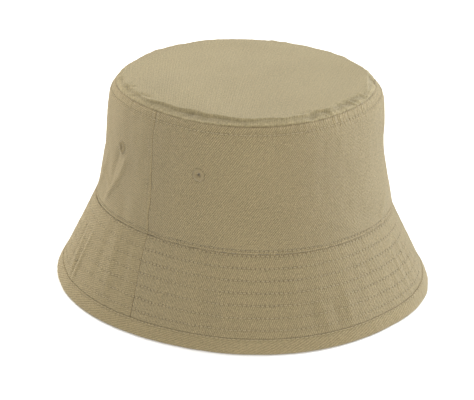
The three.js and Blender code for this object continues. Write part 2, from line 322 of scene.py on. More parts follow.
brim_swell = ripples(11, 10, (2, 6), 200)
brim_flute = ripples(12, 30, (12, 44), 160)


def brim_twist(t, run):
    """The brim's halves are sewn on a little turned at the right side seam."""
    return deg(3.0) * smooth(run / BRIM_RUN) * bell(turn_from(t, -QUARTER), 0.35)


def brim_sag(t, run):
    share = run / BRIM_RUN
    out = 0.5 * share * brim_swell(t, 0) * smooth(share * 1.5)
    out += 0.10 * brim_flute(t, run) * smooth(share * 2.5) * smooth((1.25 - share) * 2)
    return creased(out, BRIM_CREASES, t, run, BRIM_R)


def brim_point(t, run, out=0.0):
    """A point of the brim, `run` along it from the head seam, `out` square to its slope."""
    angle = t + brim_twist(t, run)
    share = run / BRIM_RUN
    a = HEAD_A + (FOOT_A - HEAD_A) * share
    b = HEAD_B + (FOOT_B - HEAD_B) * share
    z = (HEAD_Z + head_lift(t)) * (1 - share) + out * BRIM_OUT
    shift = head_shift(t) * (1 - share) + foot_shift(t) * share
    return points(a, b, z, angle, brim_sag(t, run) + shift + out * BRIM_DOWN)


# The top panel: flat, then a step down to a margin that slopes to the tip seam.

TIP_R = (TIP_A + TIP_B) / 2
TIP_RISE = TOP_Z - TIP_Z
MARGIN = 4.3
SHRINK_FROM = 12.0                   # further in, the rings keep their shape and only shrink
margin_wave = ripples(23, 16, (9, 34), 100)
step_wave = ripples(24, 12, (4, 15), 100)
tip_crumple = ripples(21, 30, (14, 52), 30)
tip_swell = ripples(22, 10, (1, 4), 120)

TIP_CREASES = [
    (-108, 6, -100, 7, 1.8, -0.8),
    (-122, 4, -117, 9, 1.5, -0.6),
    (-118, 2, -128, 9, 1.2, 0.5),
    (-2, 6, 5, 6, 1.8, -0.9),
    (-24, 7, -17, 8, 1.8, -0.5),
    (9, 0, 7, 7, 0.9, 0.5),
    (-10, 0, -12, 5, 0.9, 0.45),
    (20, 1, 17, 7, 1.2, 0.5),
    (36, 2, 44, 3, 3.0, -1.2),
    (120, 2, 112, 8, 1.4, 0.3),
]


def tip_margin(t):
    wide = 2.6 * hump(t, -72, 0.32) + 2.0 * hump(t, 0, 0.35)
    uneven = 0.4 + 0.4 * hump(t, -40, 1.1)
    return MARGIN + uneven * margin_wave(t, 0) + wide


def tip_rise(t, back):
    """Height of the top panel over the tip seam."""
    margin = tip_margin(t)
    uneven = 0.15 + 0.2 * hump(t, -40, 1.1)
    step = 1.3 + uneven * step_wave(t, 0) + 0.9 * hump(t, -75, 0.4)
    step = np.clip(step, 0.3, 2.6)
    u = np.clip(back / margin, 0, 1)
    rise = (TIP_RISE - step) * (1.35 * u - 0.35 * u * u)
    rise += step * smooth((back - margin + 0.3) / (0.6 + 0.5 * step))
    rim = bell(back / margin - 0.6, 0.5)
    rise += (0.18 + 0.18 * hump(t, 5, 0.4)) * rim * tip_crumple(t, back)
    rise = creased(rise, TIP_CREASES, t, back, TIP_R)
    return rise + 0.3 * tip_swell(t, back) * smooth(back / 25) * smooth((TIP_R - back) / 60)


def tip_point(t, back):
    """A point of the top panel, `back` inwards from the tip seam."""
    inset = np.minimum(back, SHRINK_FROM)
    shrink = np.clip((TIP_R - back) / (TIP_R - SHRINK_FROM), 0, 1)
    reach = np.clip(1 - back / TIP_R, 0, 1)
    z = TIP_Z + tip_rise(t, back) + TIP_LIFT + (tip_lift(t) - TIP_LIFT) * reach
    ring = points(TIP_A - inset, TIP_B - inset, z, t, tip_shift(t) * reach)
    return ring * np.stack(np.broadcast_arrays(shrink, shrink, 1.0), -1)


# -------- meshes


def new_object(name, verts, faces, **corner_uvs):
    mesh = bpy.data.meshes.new(name)
    mesh.from_pydata(np.asarray(verts) / MM, [], faces)
    for uv_name, uv in corner_uvs.items():
        layer = mesh.uv_layers.new(name=uv_name)
        layer.data.foreach_set("uv", np.asarray(uv, np.float32).ravel())
    mesh.shade_smooth()
    mesh.validate()
    piece = bpy.data.objects.new(name, mesh)
    bpy.context.collection.objects.link(piece)
    return piece


def grid_normals(grid, closed=False):
    """Outward unit normals of a grid of points: first index round the hat, second outwards."""
    if closed:
        wide = np.concatenate([grid[-3:-1], grid, grid[1:3]])
        return grid_normals(wide)[2:-2]
    around = np.gradient(grid, axis=0)
    along = np.gradient(grid, axis=1)
    normal = np.cross(along, around)
    size = np.linalg.norm(normal, axis=-1, keepdims=True)
    return normal / np.maximum(size, 1e-9)


def corners(grid):
    return np.stack([grid[:-1, :-1], grid[:-1, 1:], grid[1:, 1:], grid[1:, :-1]], -1)


def sheet(name, outer, inner, uv, needle=None, keep=None, closed=False, seam=None, margin_light_and_shade=0.0):
    """A closed sheet of cloth between two grids of points. `keep` drops cells, which leaves a hole
    with a cut edge, and `closed` says that the last column repeats the first."""
    needle = np.zeros(uv.shape) if needle is None else needle
    # the seam map: distance to a seam, for a line of painted shade, and the tip margin's painted shade
    # and highlight
    seam = NO_NEEDLE if seam is None else np.minimum(seam, NO_NEEDLE)
    seam = np.stack(np.broadcast_arrays(seam - NO_NEEDLE, margin_light_and_shade, uv[..., 0])[:2], -1)
    columns, rows = outer.shape[:2]
    used = columns - 1 if closed else columns
    index = (np.arange(columns)[:, None] % used) * rows + np.arange(rows)
    place = np.arange(columns)[:, None] * rows + np.arange(rows)
    keep = np.ones((columns - 1, rows - 1), bool) if keep is None else keep
    front, front_uv = corners(index)[keep], corners(place)[keep]
    offset = used * rows
    back, back_uv = front[:, ::-1] + offset, front_uv[:, ::-1]
    edges, edges_uv = (np.concatenate([quads[:, [k, (k + 1) % 4]] for k in range(4)])
                       for quads in (front, front_uv))
    key = edges[:, 0] * offset + edges[:, 1]
    rim = ~np.isin(key, edges[:, 1] * offset + edges[:, 0])
    p, q = edges[rim].T
    pu, qu = edges_uv[rim].T
    walls = np.stack([q, p, p + offset, q + offset], 1)
    walls_uv = np.stack([qu, pu, pu, qu], 1)
    faces = np.concatenate([front, back, walls])
    face_uv = np.concatenate([front_uv, back_uv, walls_uv])
    verts = np.concatenate([outer[:used].reshape(-1, 3), inner[:used].reshape(-1, 3)])
    kept, faces = np.unique(faces, return_inverse=True)
    maps = {key: layer.reshape(-1, 2)[face_uv.ravel()]
            for key, layer in (("cloth", uv), ("needle", needle), ("seam", seam))}
    return new_object(name, verts[kept], faces.reshape(-1, 4).tolist(), **maps)


def flat_pattern(t, distance, radius, slope):
    """Where a place on a cone lies in its flat pattern, in metres, for the grain of the weave."""
    sine = math.sin(slope)
    apex = radius / sine
    spread = t * sine
    return np.stack(
        [(apex + distance) * np.sin(spread), (apex + distance) * (1 - np.cos(spread)) - distance], -1
    ) / MM


def half_turn(centre):
    """Angles of half the hat between the side seams, closer together near the seams."""
    reach = QUARTER * MEAN_R
    arcs = graded(-reach, 0.0, 0.85, marks=(-reach, -reach + SIDE_ROW), fine=0.25)
    arcs = np.concatenate([arcs[:-1], -arcs[::-1]])
    return centre + arcs / MEAN_R


def whole_turn(count):
    return np.linspace(0, TURN, count + 1)


def stitch_count(surface, distance):
    probe = surface(whole_turn(720), np.full(721, distance), 0.0)
    return int(round(np.linalg.norm(np.diff(probe, axis=0), axis=1).sum() / STITCH))


NO_NEEDLE = 9.0                      # further than this from any row
SEAM_STEP = 0.18                     # finest spacing of the meshes, at the seams


def needle_marks(t, place, rows, surface, side_rows=()):
    """For the needle holes: a count of stitches along the nearest row and the distance from it,
    less NO_NEEDLE so that 0 means none."""
    gap = np.abs(place[..., None] - np.array(rows))
    nearest, beside = gap.argmin(-1), gap.min(-1)
    counts = np.array([stitch_count(surface, row) for row in rows])
    along = t * counts[nearest] / TURN
    for angle in side_rows:
        aside = np.abs(turn_from(t, angle)) * MEAN_R
        along = np.where(aside < beside, place / STITCH, along)
        beside = np.minimum(aside, beside)
    return np.stack([along + 0.5, np.minimum(beside, NO_NEEDLE) - NO_NEEDLE], -1)


def side_distance(t):
    """Arc length to the nearer side seam: negative behind it, positive in front of it."""
    front = np.cos(t)
    nearest = np.arcsin(np.clip(np.abs(np.sin(t)), 0, 1))
    return np.where(front >= 0, 1.0, -1.0) * (QUARTER - nearest) * MEAN_R


# -------- materials


SHADOW = (0.085, 0.056, 0.024)       # painted shade that seams, needle holes and the tip's margin fade to


class Shading:
    """A node material with a Principled shader, and short calls that add nodes to it."""

    def __init__(self, name, colour, roughness):
        self.material = bpy.data.materials.new(name)
        self.material.use_nodes = True
        tree = self.material.node_tree
        self.nodes, self.link = tree.nodes, tree.links.new
        self.shader = tree.nodes["Principled BSDF"].inputs
        self.give("Base Color", (*colour, 1))
        self.give("Roughness", roughness)
        self.give("Specular IOR Level", 0.1)

    def give(self, name, value):
        self.shader[name].default_value = value

    def add(self, kind, settings, operation=None):
        """A new node, with each input named in `settings` given a value or linked to an output."""
        node = self.nodes.new("ShaderNode" + kind)
        if operation:
            node.operation = operation
        for name, value in settings.items():
            if isinstance(value, bpy.types.NodeSocket):
                self.link(value, node.inputs[name])
            else:
                node.inputs[name].default_value = value
        return node

    def calc(self, operation, *values):
        return self.add("Math", dict(enumerate(values)), operation).outputs[0]

    def times(self, first, second):
        return self.calc("MULTIPLY", first, second)

    def falloff(self, distance, width):
        """1 where `distance` is 0, fading like a bell."""
        return self.calc("EXPONENT", self.times(self.times(distance, distance), -1 / width ** 2))

    def noise(self, vector, scale, detail=2.0, roughness=0.5):
        settings = {"Vector": vector, "Scale": scale, "Detail": detail, "Roughness": roughness}
        return self.add("TexNoise", settings).outputs["Fac"]

    def ranged(self, value, low, high, to_low, to_high):
        limits = {"From Min": low, "From Max": high, "To Min": to_low, "To Max": to_high}
        return self.add("MapRange", {"Value": value, **limits}).outputs[0]

    def split(self, vector):
        return self.add("SeparateXYZ", {0: vector}).outputs

    def place(self):
        return self.add("TexCoord", {}).outputs["Object"]

    def uv_map(self, name):
        node = self.add("UVMap", {})
        node.uv_map = name
        return node.outputs[0]

    def paint(self, colour, shade, shadow=None):
        """Give the shader `colour` times `shade`, fading to SHADOW where `shadow` is 1."""
        made = self.add("VectorMath", {0: colour, "Scale": shade}, "SCALE").outputs[0]
        if shadow is not None:
            mixed = {"Fac": shadow, "Color1": made, "Color2": (*SHADOW, 1)}
            made = self.add("MixRGB", mixed).outputs[0]
        self.link(made, self.shader["Base Color"])

    def emboss(self, height, strength, distance):
        bump = self.add("Bump", {"Height": height, "Strength": strength, "Distance": distance})
        self.link(bump.outputs[0], self.shader["Normal"])


FLOAT = 0.8                          # length of a float along a wale
HOLE_R = 0.5                         # radius of a needle hole, to where it has faded by two thirds


def drill_cloth(name, colour, wale=1.05, turn=-45, depth=1.0, sheen=0.22, uneven=1.0):
    """Cotton drill: twill wales across the pattern, slubs, grain and needle holes, with painted shade
    in the holes, along seams, on the tip's margin and in creases, and painted highlight on raised
    edges and beside the tip seam. `wale` is the width of a wale in millimetres, `turn` its slant in
    degrees."""
    cloth = Shading(name, colour, 0.92)
    calc, times, noise, ranged = cloth.calc, cloth.times, cloth.noise, cloth.ranged
    cloth.give("Sheen Weight", sheen)
    cloth.give("Sheen Roughness", 0.55)
    cloth.give("Sheen Tint", (1.0, 0.95, 0.80, 1))

    uv = cloth.uv_map("cloth")
    place = cloth.place()
    turned = cloth.add("VectorRotate", {"Vector": uv, "Angle": deg(turn)})
    turned.rotation_type = "Z_AXIS"
    flat = cloth.split(turned.outputs[0])

    across = calc("MULTIPLY_ADD", noise(uv, 240.0), 0.0010, flat["Y"])
    wales = calc("SINE", times(across, TURN * MM / wale))
    grooves = calc("POWER", calc("MULTIPLY_ADD", wales, -0.5, 0.5), 2.0)
    floats = calc("SINE", times(flat["X"], TURN * MM / FLOAT))
    weave = calc("MULTIPLY_ADD", floats, 0.12, calc("SUBTRACT", 0.5, grooves))
    slub = noise(uv, 620.0, 3.0, 0.65)
    grain = noise(uv, 1500.0, 2.0, 0.7)
    cloud = noise(place, 30.0, 3.0, 0.6)

    # needle holes: dents in the bump with painted shade in them, mixed toward SHADOW, and a groove
    # along each row painted 3% darker
    row = cloth.split(cloth.uv_map("needle"))
    beside = calc("ADD", row["Y"], NO_NEEDLE)
    along = times(calc("SUBTRACT", calc("FRACT", row["X"]), 0.5), STITCH)
    far = calc("MULTIPLY_ADD", along, along, times(beside, beside))
    hole = calc("EXPONENT", times(far, -1 / HOLE_R ** 2))
    most = 0.2 + 0.8 * depth
    hole = times(hole, ranged(noise(place, 22.0, 1.0), 0.35, 0.65, 0.45 * most, most))
    row_groove = cloth.falloff(beside, 0.5)

    shade = ranged(weave, -0.6, 0.6, 1 - 0.32 * depth, 1 + 0.21 * depth)
    rough = (0.55 + 0.45 * depth) * uneven
    for pattern, spread in ((slub, 0.92 * rough), (grain, 1.28 * rough), (cloud, 0.16 * uneven)):
        shade = times(shade, ranged(pattern, 0, 1, 1 - spread / 2, 1 + spread / 2))
    # painted shade in creases and a painted highlight on raised edges, from the mesh's pointiness
    relief_shade_and_highlight = cloth.add("NewGeometry", {}).outputs["Pointiness"]
    shade = times(shade, ranged(relief_shade_and_highlight, 0.44, 0.56, 0.84, 1.14))
    shade = times(shade, calc("MULTIPLY_ADD", row_groove, -0.03, 1.0))
    # painted shade: a dark line along seams, broken by noise, mixed toward SHADOW
    seam = cloth.split(cloth.uv_map("seam"))
    line = cloth.falloff(calc("ADD", seam["X"], NO_NEEDLE), 0.5)
    broken = ranged(noise(place, 90.0), 0.3, 0.6, 0.4, 0.9)
    # the tip margin's painted shade, and where negative its painted highlight, mottled by noise
    margin_light_and_shade = times(seam["Y"], ranged(noise(place, 210.0, 3.0, 0.6), 0.35, 0.65, 0.1, 1.9))
    shade = times(shade, calc("SUBTRACT", 1.0, margin_light_and_shade))
    shadow = calc("MAXIMUM", times(line, broken), times(hole, 0.75))
    cloth.paint(colour, shade, calc("MAXIMUM", shadow, margin_light_and_shade))

    height = calc("MULTIPLY_ADD", slub, 1.4, weave)
    height = calc("MULTIPLY_ADD", grain, 1.0, height)
    height = calc("MULTIPLY_ADD", hole, -2.0, calc("MULTIPLY_ADD", row_groove, -0.4, height))
    cloth.emboss(height, min(1.0, 0.3 + depth), 0.0003)
    return cloth.material


def thread_cloth(name, colour):
    """Spun thread: fine twist along the surface and small differences from stitch to stitch."""
    spun = Shading(name, colour, 0.75)
    spun.give("Sheen Weight", 0.25)
    place = spun.place()
    fleck = spun.noise(place, 1400.0)
    shade = spun.calc("MULTIPLY_ADD", fleck, 0.25, 0.80)
    shade = spun.calc("MULTIPLY_ADD", spun.noise(place, 120.0, 1.0), 0.16, shade)
    spun.paint(colour, shade)
    spun.emboss(fleck, 0.4, 0.0001)
    return spun.material


KHAKI = (0.238, 0.191, 0.1025)
drill = drill_cloth("drill", KHAKI, wale=1.16)
calm_drill = drill_cloth("calm_drill", KHAKI, wale=1.16, depth=0.55)
tip_drill = drill_cloth("tip_drill", (0.211, 0.1735, 0.0935), depth=0.4, uneven=1.45)
binding_cloth = drill_cloth("binding_drill", KHAKI, wale=1.45, turn=-25, depth=0.52)
band_cloth = drill_cloth("band_cloth", (0.235, 0.186, 0.100), wale=0.9)
tape_cloth = drill_cloth("tape_cloth", (0.225, 0.178, 0.097), wale=0.7, turn=0)
stiffener_cloth = drill_cloth("stiffener_cloth", (0.74, 0.72, 0.66), wale=0.6, depth=0.3)
thread = thread_cloth("thread", (0.305, 0.249, 0.141))
eyelet_thread = thread_cloth("eyelet_thread", (0.230, 0.185, 0.102))
satin = drill_cloth("label_satin", (0.80, 0.77, 0.70), wale=0.35, turn=90, depth=0.3, sheen=0.1)


def finish_piece(piece, cloth, replaces=(), body="hat"):
    piece.data.materials.append(cloth)
    if body:
        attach(piece, body)
    if replaces:
        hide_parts(*replaces)
    return piece


# -------- crown

def eyelet_spot(node):
    """Angle and distance below the tip seam of an eyelet, from the middle of its CAD solid."""
    x, y, z = middle(node)
    return math.atan2(x, -y) + deg(0.5), TIP_Z - z


EYELETS = {
    f"eyelet_{side}_{end}": eyelet_spot(f"eyelet_{side}_{end}")
    for side in ("left", "right") for end in ("front", "rear")
}
EYELET_R = 4.0                       # outer radius of the embroidery


def eyelet_distances(t, down):
    return [np.hypot(turn_from(t, angle) * MEAN_R, down - depth) for angle, depth in EYELETS.values()]


seam_pucker = ripples(31, 34, (60, 150), 30)
hem_pucker = ripples(32, 26, (50, 110), 40)
side_pucker = ripples(33, 18, (1, 3), 9)
fine_crease = ripples(34, 34, (18, 60), 22)
UPPER_COUNT = stitch_count(crown_point, UPPER_ROW)


def crown_detail(t, down):
    """The outer face's own relief: seams, rows of stitches and puckers."""
    rise = CROWN_DEPTH - down
    out = -1.4 * np.exp(-down / 0.35) - 0.14 * bell(down - UPPER_ROW, 0.9)
    out += 0.22 * bell(down - UPPER_ROW / 2, 1.7)
    out -= 0.06 * np.cos(UPPER_COUNT * t) * bell(down - UPPER_ROW, 1.6)
    out += 0.12 * seam_pucker(t, down) * np.exp(-down / 5)
    out = out - 0.22 * np.exp(-rise / 0.3) + 0.26 * bell(rise - 0.75, 0.55)
    out -= 0.16 * bell(rise - LOWER_ROW, 0.5)
    out += 0.08 * hem_pucker(t, rise) * np.exp(-rise / 5)
    side = side_distance(t)
    out -= 0.25 * bell(side, 0.3)
    low = smooth((down - 20) / 40)
    allowance = smooth((side + SIDE_ROW + 1.6) / 1.2) * smooth(-side / 0.8)
    out = out + 0.20 * allowance * low - 0.08 * bell(side + SIDE_ROW, 0.7)
    out += 0.10 * side_pucker(t, down) * bell(side, 5)
    for far in eyelet_distances(t, down):
        out -= 0.22 * bell(far - EYELET_R - 0.2, 0.5)
    return out + 0.05 * fine_crease(t, down)


SIDE_ROWS = (QUARTER + SIDE_ROW / MEAN_R, -QUARTER - SIDE_ROW / MEAN_R)
EYELET_HOLE = 1.9                    # the hole in the cloth, hidden under the embroidery


def pierce(t, down, centre):
    """Which cells to drop for the eyelets; the grid is first drawn onto each hole's circle."""
    drop = np.zeros((t.shape[0] - 1, t.shape[1] - 1), bool)
    for angle, depth in EYELETS.values():
        if abs(turn_from(angle, centre)) > QUARTER:
            continue
        x, y = turn_from(t, angle) * MEAN_R, down - depth
        far = np.hypot(x, y)
        cell = (far[:-1, :-1] + far[1:, :-1] + far[:-1, 1:] + far[1:, 1:]) / 4
        inside = cell < EYELET_HOLE
        touched = np.zeros(far.shape, int)
        shared = np.zeros(far.shape, int)
        for i in (0, 1):
            for j in (0, 1):
                view = (slice(i, far.shape[0] - 1 + i), slice(j, far.shape[1] - 1 + j))
                touched[view] += inside
                shared[view] += ~inside
        ring = (touched > 0) & (shared > 0)
        scale = np.where(ring, EYELET_HOLE / np.maximum(far, 0.1), 1.0)
        t += x * (scale - 1) / MEAN_R
        down += y * (scale - 1)
        drop |= inside
    return ~drop


def make_crown_side(name, centre):
    marks = (0, UPPER_ROW, CROWN_DEPTH - LOWER_ROW, CROWN_DEPTH)
    t, down = pairs(half_turn(centre), graded(0, CROWN_DEPTH, 1.0, marks, fine=SEAM_STEP))
    keep = pierce(t, down, centre)
    outer = crown_point(t, down, crown_detail(t, down))
    tuck = np.exp(-down / 0.5) + np.exp(-(CROWN_DEPTH - down) / 0.4) + bell(side_distance(t), 0.45)
    inner = crown_point(t, down, -CROWN_CLOTH - 0.9 * np.clip(tuck, 0, 1))
    uv = flat_pattern(t - centre, down, MEAN_R - 5, math.atan2(HEAD_A - TIP_A, CROWN_DEPTH))
    needle = needle_marks(t, down, [UPPER_ROW, CROWN_DEPTH - LOWER_ROW], crown_point, SIDE_ROWS)
    needle[..., 1] += np.where(down < CROWN_DEPTH / 2, 0.3, 0.0)      # fainter holes, in the bump and in their painted shade
    # where shade is painted as a dark line: the side seams, the tip and head seams, and a ring round
    # each eyelet
    gap = np.minimum(np.abs(side_distance(t)) * 1.6 + 0.12, CROWN_DEPTH - down + 0.4)
    gap = np.minimum(gap, down)
    for far in eyelet_distances(t, down):
        gap = np.minimum(gap, np.abs(far - EYELET_R - 0.15) + 0.22)
    piece = sheet(name, outer, inner, uv, needle, keep, seam=gap)
    finish_piece(piece, drill if centre == 0 else calm_drill, [name])


make_crown_side("crown_side_front", 0.0)
make_crown_side("crown_side_rear", math.pi)


def tip_surface(t, back, out):
    """The top panel, with `out` square to it, on a grid whose middle is the hat's."""
    grid = tip_point(t, back)
    return grid + grid_normals(grid) * np.asarray(out)[..., None]


def square_rings(count):
    """Ring number and angle of each point of a square grid drawn onto a disc."""
    steps = np.arange(-count, count + 1)
    i, j = pairs(steps, steps)
    wide = np.abs(j) > np.abs(i)
    x, y = np.where(j == 0, 1, j), np.where(i == 0, 1, i)
    polar = np.where(
        wide, math.pi / 4 * i / x + math.pi * (j < 0), QUARTER - math.pi / 4 * j / y + math.pi * (i < 0)
    )
    return np.maximum(np.abs(i), np.abs(j)), polar + QUARTER


def make_tip():
    name = "crown_tip"
    backs = graded(0, TIP_R, 0.93, (0, MARGIN, MARGIN + 2), fine=SEAM_STEP, growth=0.3)
    ring, t = square_rings(len(backs) - 1)
    back = backs[::-1][ring]
    detail = -1.3 * np.exp(-back / 0.35) + 0.18 * bell(back - 1.1, 0.7)
    detail += 0.08 * seam_pucker(t, back) * np.exp(-back / 4)
    outer = tip_surface(t, back, detail)
    inner = tip_surface(t, back, -CROWN_CLOTH - 1.0 * np.exp(-back / 0.5))
    margin = tip_margin(t)
    # painted shade on the margin, most at the front and at the wearer's right, and a painted highlight
    # on a strip beside the tip seam; seam=back paints shade along the seam itself
    margin_light_and_shade = 0.02 + 0.06 * hump(t, 2, 0.45) + 0.03 * hump(t, -78, 0.4)
    margin_light_and_shade = margin_light_and_shade * smooth((margin - back + 0.6) / 1.2) - 0.17 * bell(back - 1.7, 1.2)
    piece = sheet(name, outer, inner, outer[..., :2] / MM, seam=back, margin_light_and_shade=margin_light_and_shade)
    finish_piece(piece, tip_drill, [name])


make_tip()

# -------- brim

quilt_pucker = ripples(41, 34, (50, 130), 24)
brim_fine = ripples(42, 34, (20, 70), 40)


def brim_detail(t, run):
    """Quilting on one face of the brim: faint grooves along the rows, cloth that puffs up between,
    and the step down where the binding covers it."""
    out = -0.12 * np.exp(-run / 0.3)
    for row in QUILT_ROWS:
        out -= 0.06 * bell(run - row, 0.8)
    between = np.interp(run, np.array(QUILT_ROWS + [EDGE_ROW]), np.arange(len(QUILT_ROWS) + 1))
    puff = np.sin(math.pi * (between % 1.0)) ** 2
    out = out + 0.06 * puff + 0.05 * quilt_pucker(t, run) * (1 - 0.6 * puff)
    out = out + 0.05 * brim_fine(t, run) - 0.75 * smooth((run - BRIM_RUN + BINDING + 0.25) / 0.3)
    return out - 0.22 * bell(side_distance(t), 0.28)


BRIM_MARKS = [0.0, *QUILT_ROWS, BRIM_RUN - BINDING]


def make_brim_face(name, centre, outer_face):
    step = 0.95 if outer_face else 1.5
    runs = graded(0, BRIM_RUN - 1.6, step, BRIM_MARKS, fine=0.32, growth=0.3)
    t, run = pairs(half_turn(centre), runs)
    detail = brim_detail(t, run)
    hidden = np.minimum(np.maximum(BRIM_CLOTH - detail, 0.3), BRIM_CLOTH + 0.2)
    if outer_face:
        outer, inner = brim_point(t, run, detail), brim_point(t, run, -hidden)
    else:
        outer = brim_point(t, run, -BRIM_THICK + hidden)
        inner = brim_point(t, run, -BRIM_THICK - detail)
    uv = flat_pattern(t - centre, run, MEAN_R, math.atan2(BRIM_SPREAD, HEAD_Z))
    needle = needle_marks(t, run, QUILT_ROWS, brim_point)
    # where shade is painted as a dark line: the side seams and the head seam
    gap = np.minimum(np.abs(side_distance(t)) * 1.6 + 0.1, run + 0.4)
    piece = sheet(name, outer, inner, uv, needle, seam=gap)
    finish_piece(piece, drill if centre == 0 else calm_drill, [name])


for end, centre in (("front", 0.0), ("rear", math.pi)):
    make_brim_face(f"brim_upper_{end}", centre, True)
    make_brim_face(f"brim_under_{end}", centre, False)


def make_stiffener():
    first, last = 1.5, BRIM_RUN - 3.0        # clear of the head seam and of the binding's fold
    t, run = pairs(whole_turn(240), np.linspace(first, last, 30))
    outer = brim_point(t, run, -BRIM_CLOTH - 0.25)
    inner = brim_point(t, run, -BRIM_THICK + BRIM_CLOTH + 0.25)
    uv = np.stack([t * MEAN_R, run], -1) / MM
    piece = sheet("brim_stiffener", outer, inner, uv, closed=True)
    finish_piece(piece, stiffener_cloth, ["brim_stiffener"])


make_stiffener()

bind_pucker = ripples(51, 40, (60, 170), 12)
bind_wave = ripples(52, 16, (14, 40), 60)
BINDING_CLOTH = 0.55


def binding_section():
    """The bias strip round the brim's edge: pairs of (run, out), from the upper face's stitched
    edge round the foot to the under face's edge. The stitches draw its edges into the brim."""
    start, foot = BRIM_RUN - BINDING, BRIM_RUN - 1.9
    profile = [(0.1, -0.6), (0.1, -0.3), (0.25, 0.0), (0.5, 0.14), (0.9, 0.2), (1.4, 0.2),
               (1.9, 0.32), (2.6, 0.48), (3.5, 0.62), (4.6, 0.72), (5.8, 0.78), (7.0, 0.8)]
    upper = [(start + run, out) for run, out in profile]
    middle_out, half = -BRIM_THICK / 2, BRIM_THICK / 2 + 0.8
    bend = [(foot + 1.9 * math.sin(a), middle_out + half * math.cos(a))
            for a in np.linspace(0.12, math.pi - 0.12, 14)]
    under = [(start + run, -BRIM_THICK - out) for run, out in reversed(profile)]
    return np.array(upper + bend + under)


def make_binding():
    section = binding_section()
    t, k = pairs(whole_turn(1240), np.arange(len(section)))
    run, out = section[k, 0], section[k, 1]
    length = np.append(0, np.cumsum(np.hypot(*np.diff(section, axis=0).T)))[k]
    face = np.sign(out + BRIM_THICK / 2)
    inwards = run - BRIM_RUN + BINDING
    pucker = 0.05 * bind_pucker(t, length) + 0.04 * bind_wave(t, length)
    outer = brim_point(t, run, out + face * pucker * smooth(inwards / 2.5))
    tangent = np.gradient(section, axis=0)
    tangent = tangent / np.linalg.norm(tangent, axis=1, keepdims=True)
    thick = BINDING_CLOTH * smooth(np.minimum(k, len(section) - 1 - k) / 3 + 0.35)
    inner = brim_point(t, run + tangent[k, 1] * thick, out - tangent[k, 0] * thick)
    needle = needle_marks(t, run, [EDGE_ROW], brim_point)
    uv = np.stack([t * FOOT_R, -length], -1) / MM
    piece = sheet("brim_edge_binding", outer, inner, uv, needle, closed=True)
    finish_piece(piece, binding_cloth, ["brim_edge_binding"])


make_binding()

# -------- stitches

STITCH_SIDES = 6
STITCH_U = np.array([0.0, 0.06, 0.2, 0.4, 0.6, 0.8, 0.94, 1.0])
STITCH_FAT = np.array([0.35, 0.75, 1.0, 1.0, 1.0, 1.0, 0.75, 0.35])


def stitches(name, starts, ends, normals, radius=0.21, rise=0.19, dive=0.42):
    """One mesh of separate stitches. Each runs from a start to an end point and bows up along its
    normal, with both ends diving into the cloth."""
    along = ends - starts
    long = np.linalg.norm(along, axis=1, keepdims=True)
    along = along / long
    side = np.cross(normals, along)
    side = side / np.linalg.norm(side, axis=1, keepdims=True)
    bow = rise * (1 - (2 * STITCH_U - 1) ** 6) - dive * np.abs(2 * STITCH_U - 1) ** 10
    angles = np.arange(STITCH_SIDES) * TURN / STITCH_SIDES
    ring = radius * STITCH_FAT
    centre = (starts[:, None] + along[:, None] * (long[:, None] * STITCH_U[:, None])
              + normals[:, None] * bow[:, None])
    offset = (side[:, None, None] * (ring[:, None] * np.cos(angles))[..., None]
              + normals[:, None, None] * (ring[:, None] * np.sin(angles))[..., None] * 0.8)
    verts = (centre[:, :, None] + offset).reshape(-1, 3)
    rings, per = len(STITCH_U), len(STITCH_U) * STITCH_SIDES
    a, j = pairs(np.arange(rings - 1) * STITCH_SIDES, np.arange(STITCH_SIDES))
    k, b = (j + 1) % STITCH_SIDES, a + STITCH_SIDES
    base = np.stack([a + j, a + k, b + k, b + j], -1).reshape(-1, 4)
    shift = np.arange(len(starts)) * per
    quads = (base[None] + shift[:, None, None]).reshape(-1, 4).tolist()
    first = (np.arange(STITCH_SIDES)[::-1][None] + shift[:, None]).tolist()
    last = (np.arange(per - STITCH_SIDES, per)[None] + shift[:, None]).tolist()
    return new_object(name, verts, quads + first + last)


def round_row(name, surface, distance, out, replaces=(), flip=1.0):
    """A row of stitches round the hat at one distance along a surface."""
    count = stitch_count(surface, distance)
    rng = np.random.default_rng(count)
    t0 = (np.arange(count) + THREAD_START + rng.normal(0, 0.015, count)) * TURN / count
    t1 = t0 + THREAD_LONG * TURN / count
    wander = rng.normal(0, 0.05, count)
    starts = surface(t0, distance + wander, out)
    ends = surface(t1, distance + wander, out)
    normals = path_normals(surface, (t0 + t1) / 2, distance) * flip
    piece = stitches(name, starts, ends, normals)
    return finish_piece(piece, thread, replaces)


def path_normals(surface, t, distance):
    step = 0.4
    around = surface(t + step / MEAN_R, distance, 0.0) - surface(t - step / MEAN_R, distance, 0.0)
    along = surface(t, distance + step, 0.0) - surface(t, distance - step, 0.0)
    normal = np.cross(along, around)
    return normal / np.linalg.norm(normal, axis=-1, keepdims=True)


QUILT_SINK = 0.14                    # how far the quilting is drawn into the brim
BINDING_RISE = 0.17                  # and how far the binding's row stands out of it

for number, row in enumerate(QUILT_ROWS, 1):
    node = f"brim_stitch_row_{number}"
    round_row(node, brim_point, row, -QUILT_SINK, [node])
    round_row(f"under_row_{number}", brim_point, row, -BRIM_THICK + QUILT_SINK, flip=-1.0)
round_row("binding_stitching", brim_point, EDGE_ROW, BINDING_RISE, ["binding_stitching"])
round_row("under_binding_row", brim_point, EDGE_ROW, -BRIM_THICK - BINDING_RISE, flip=-1.0)
round_row("crown_upper_stitching", crown_point, UPPER_ROW, 0.02, ["crown_upper_stitching"])
round_row("crown_lower_stitching", crown_point, CROWN_DEPTH - LOWER_ROW, -0.02,
          ["crown_lower_stitching"])


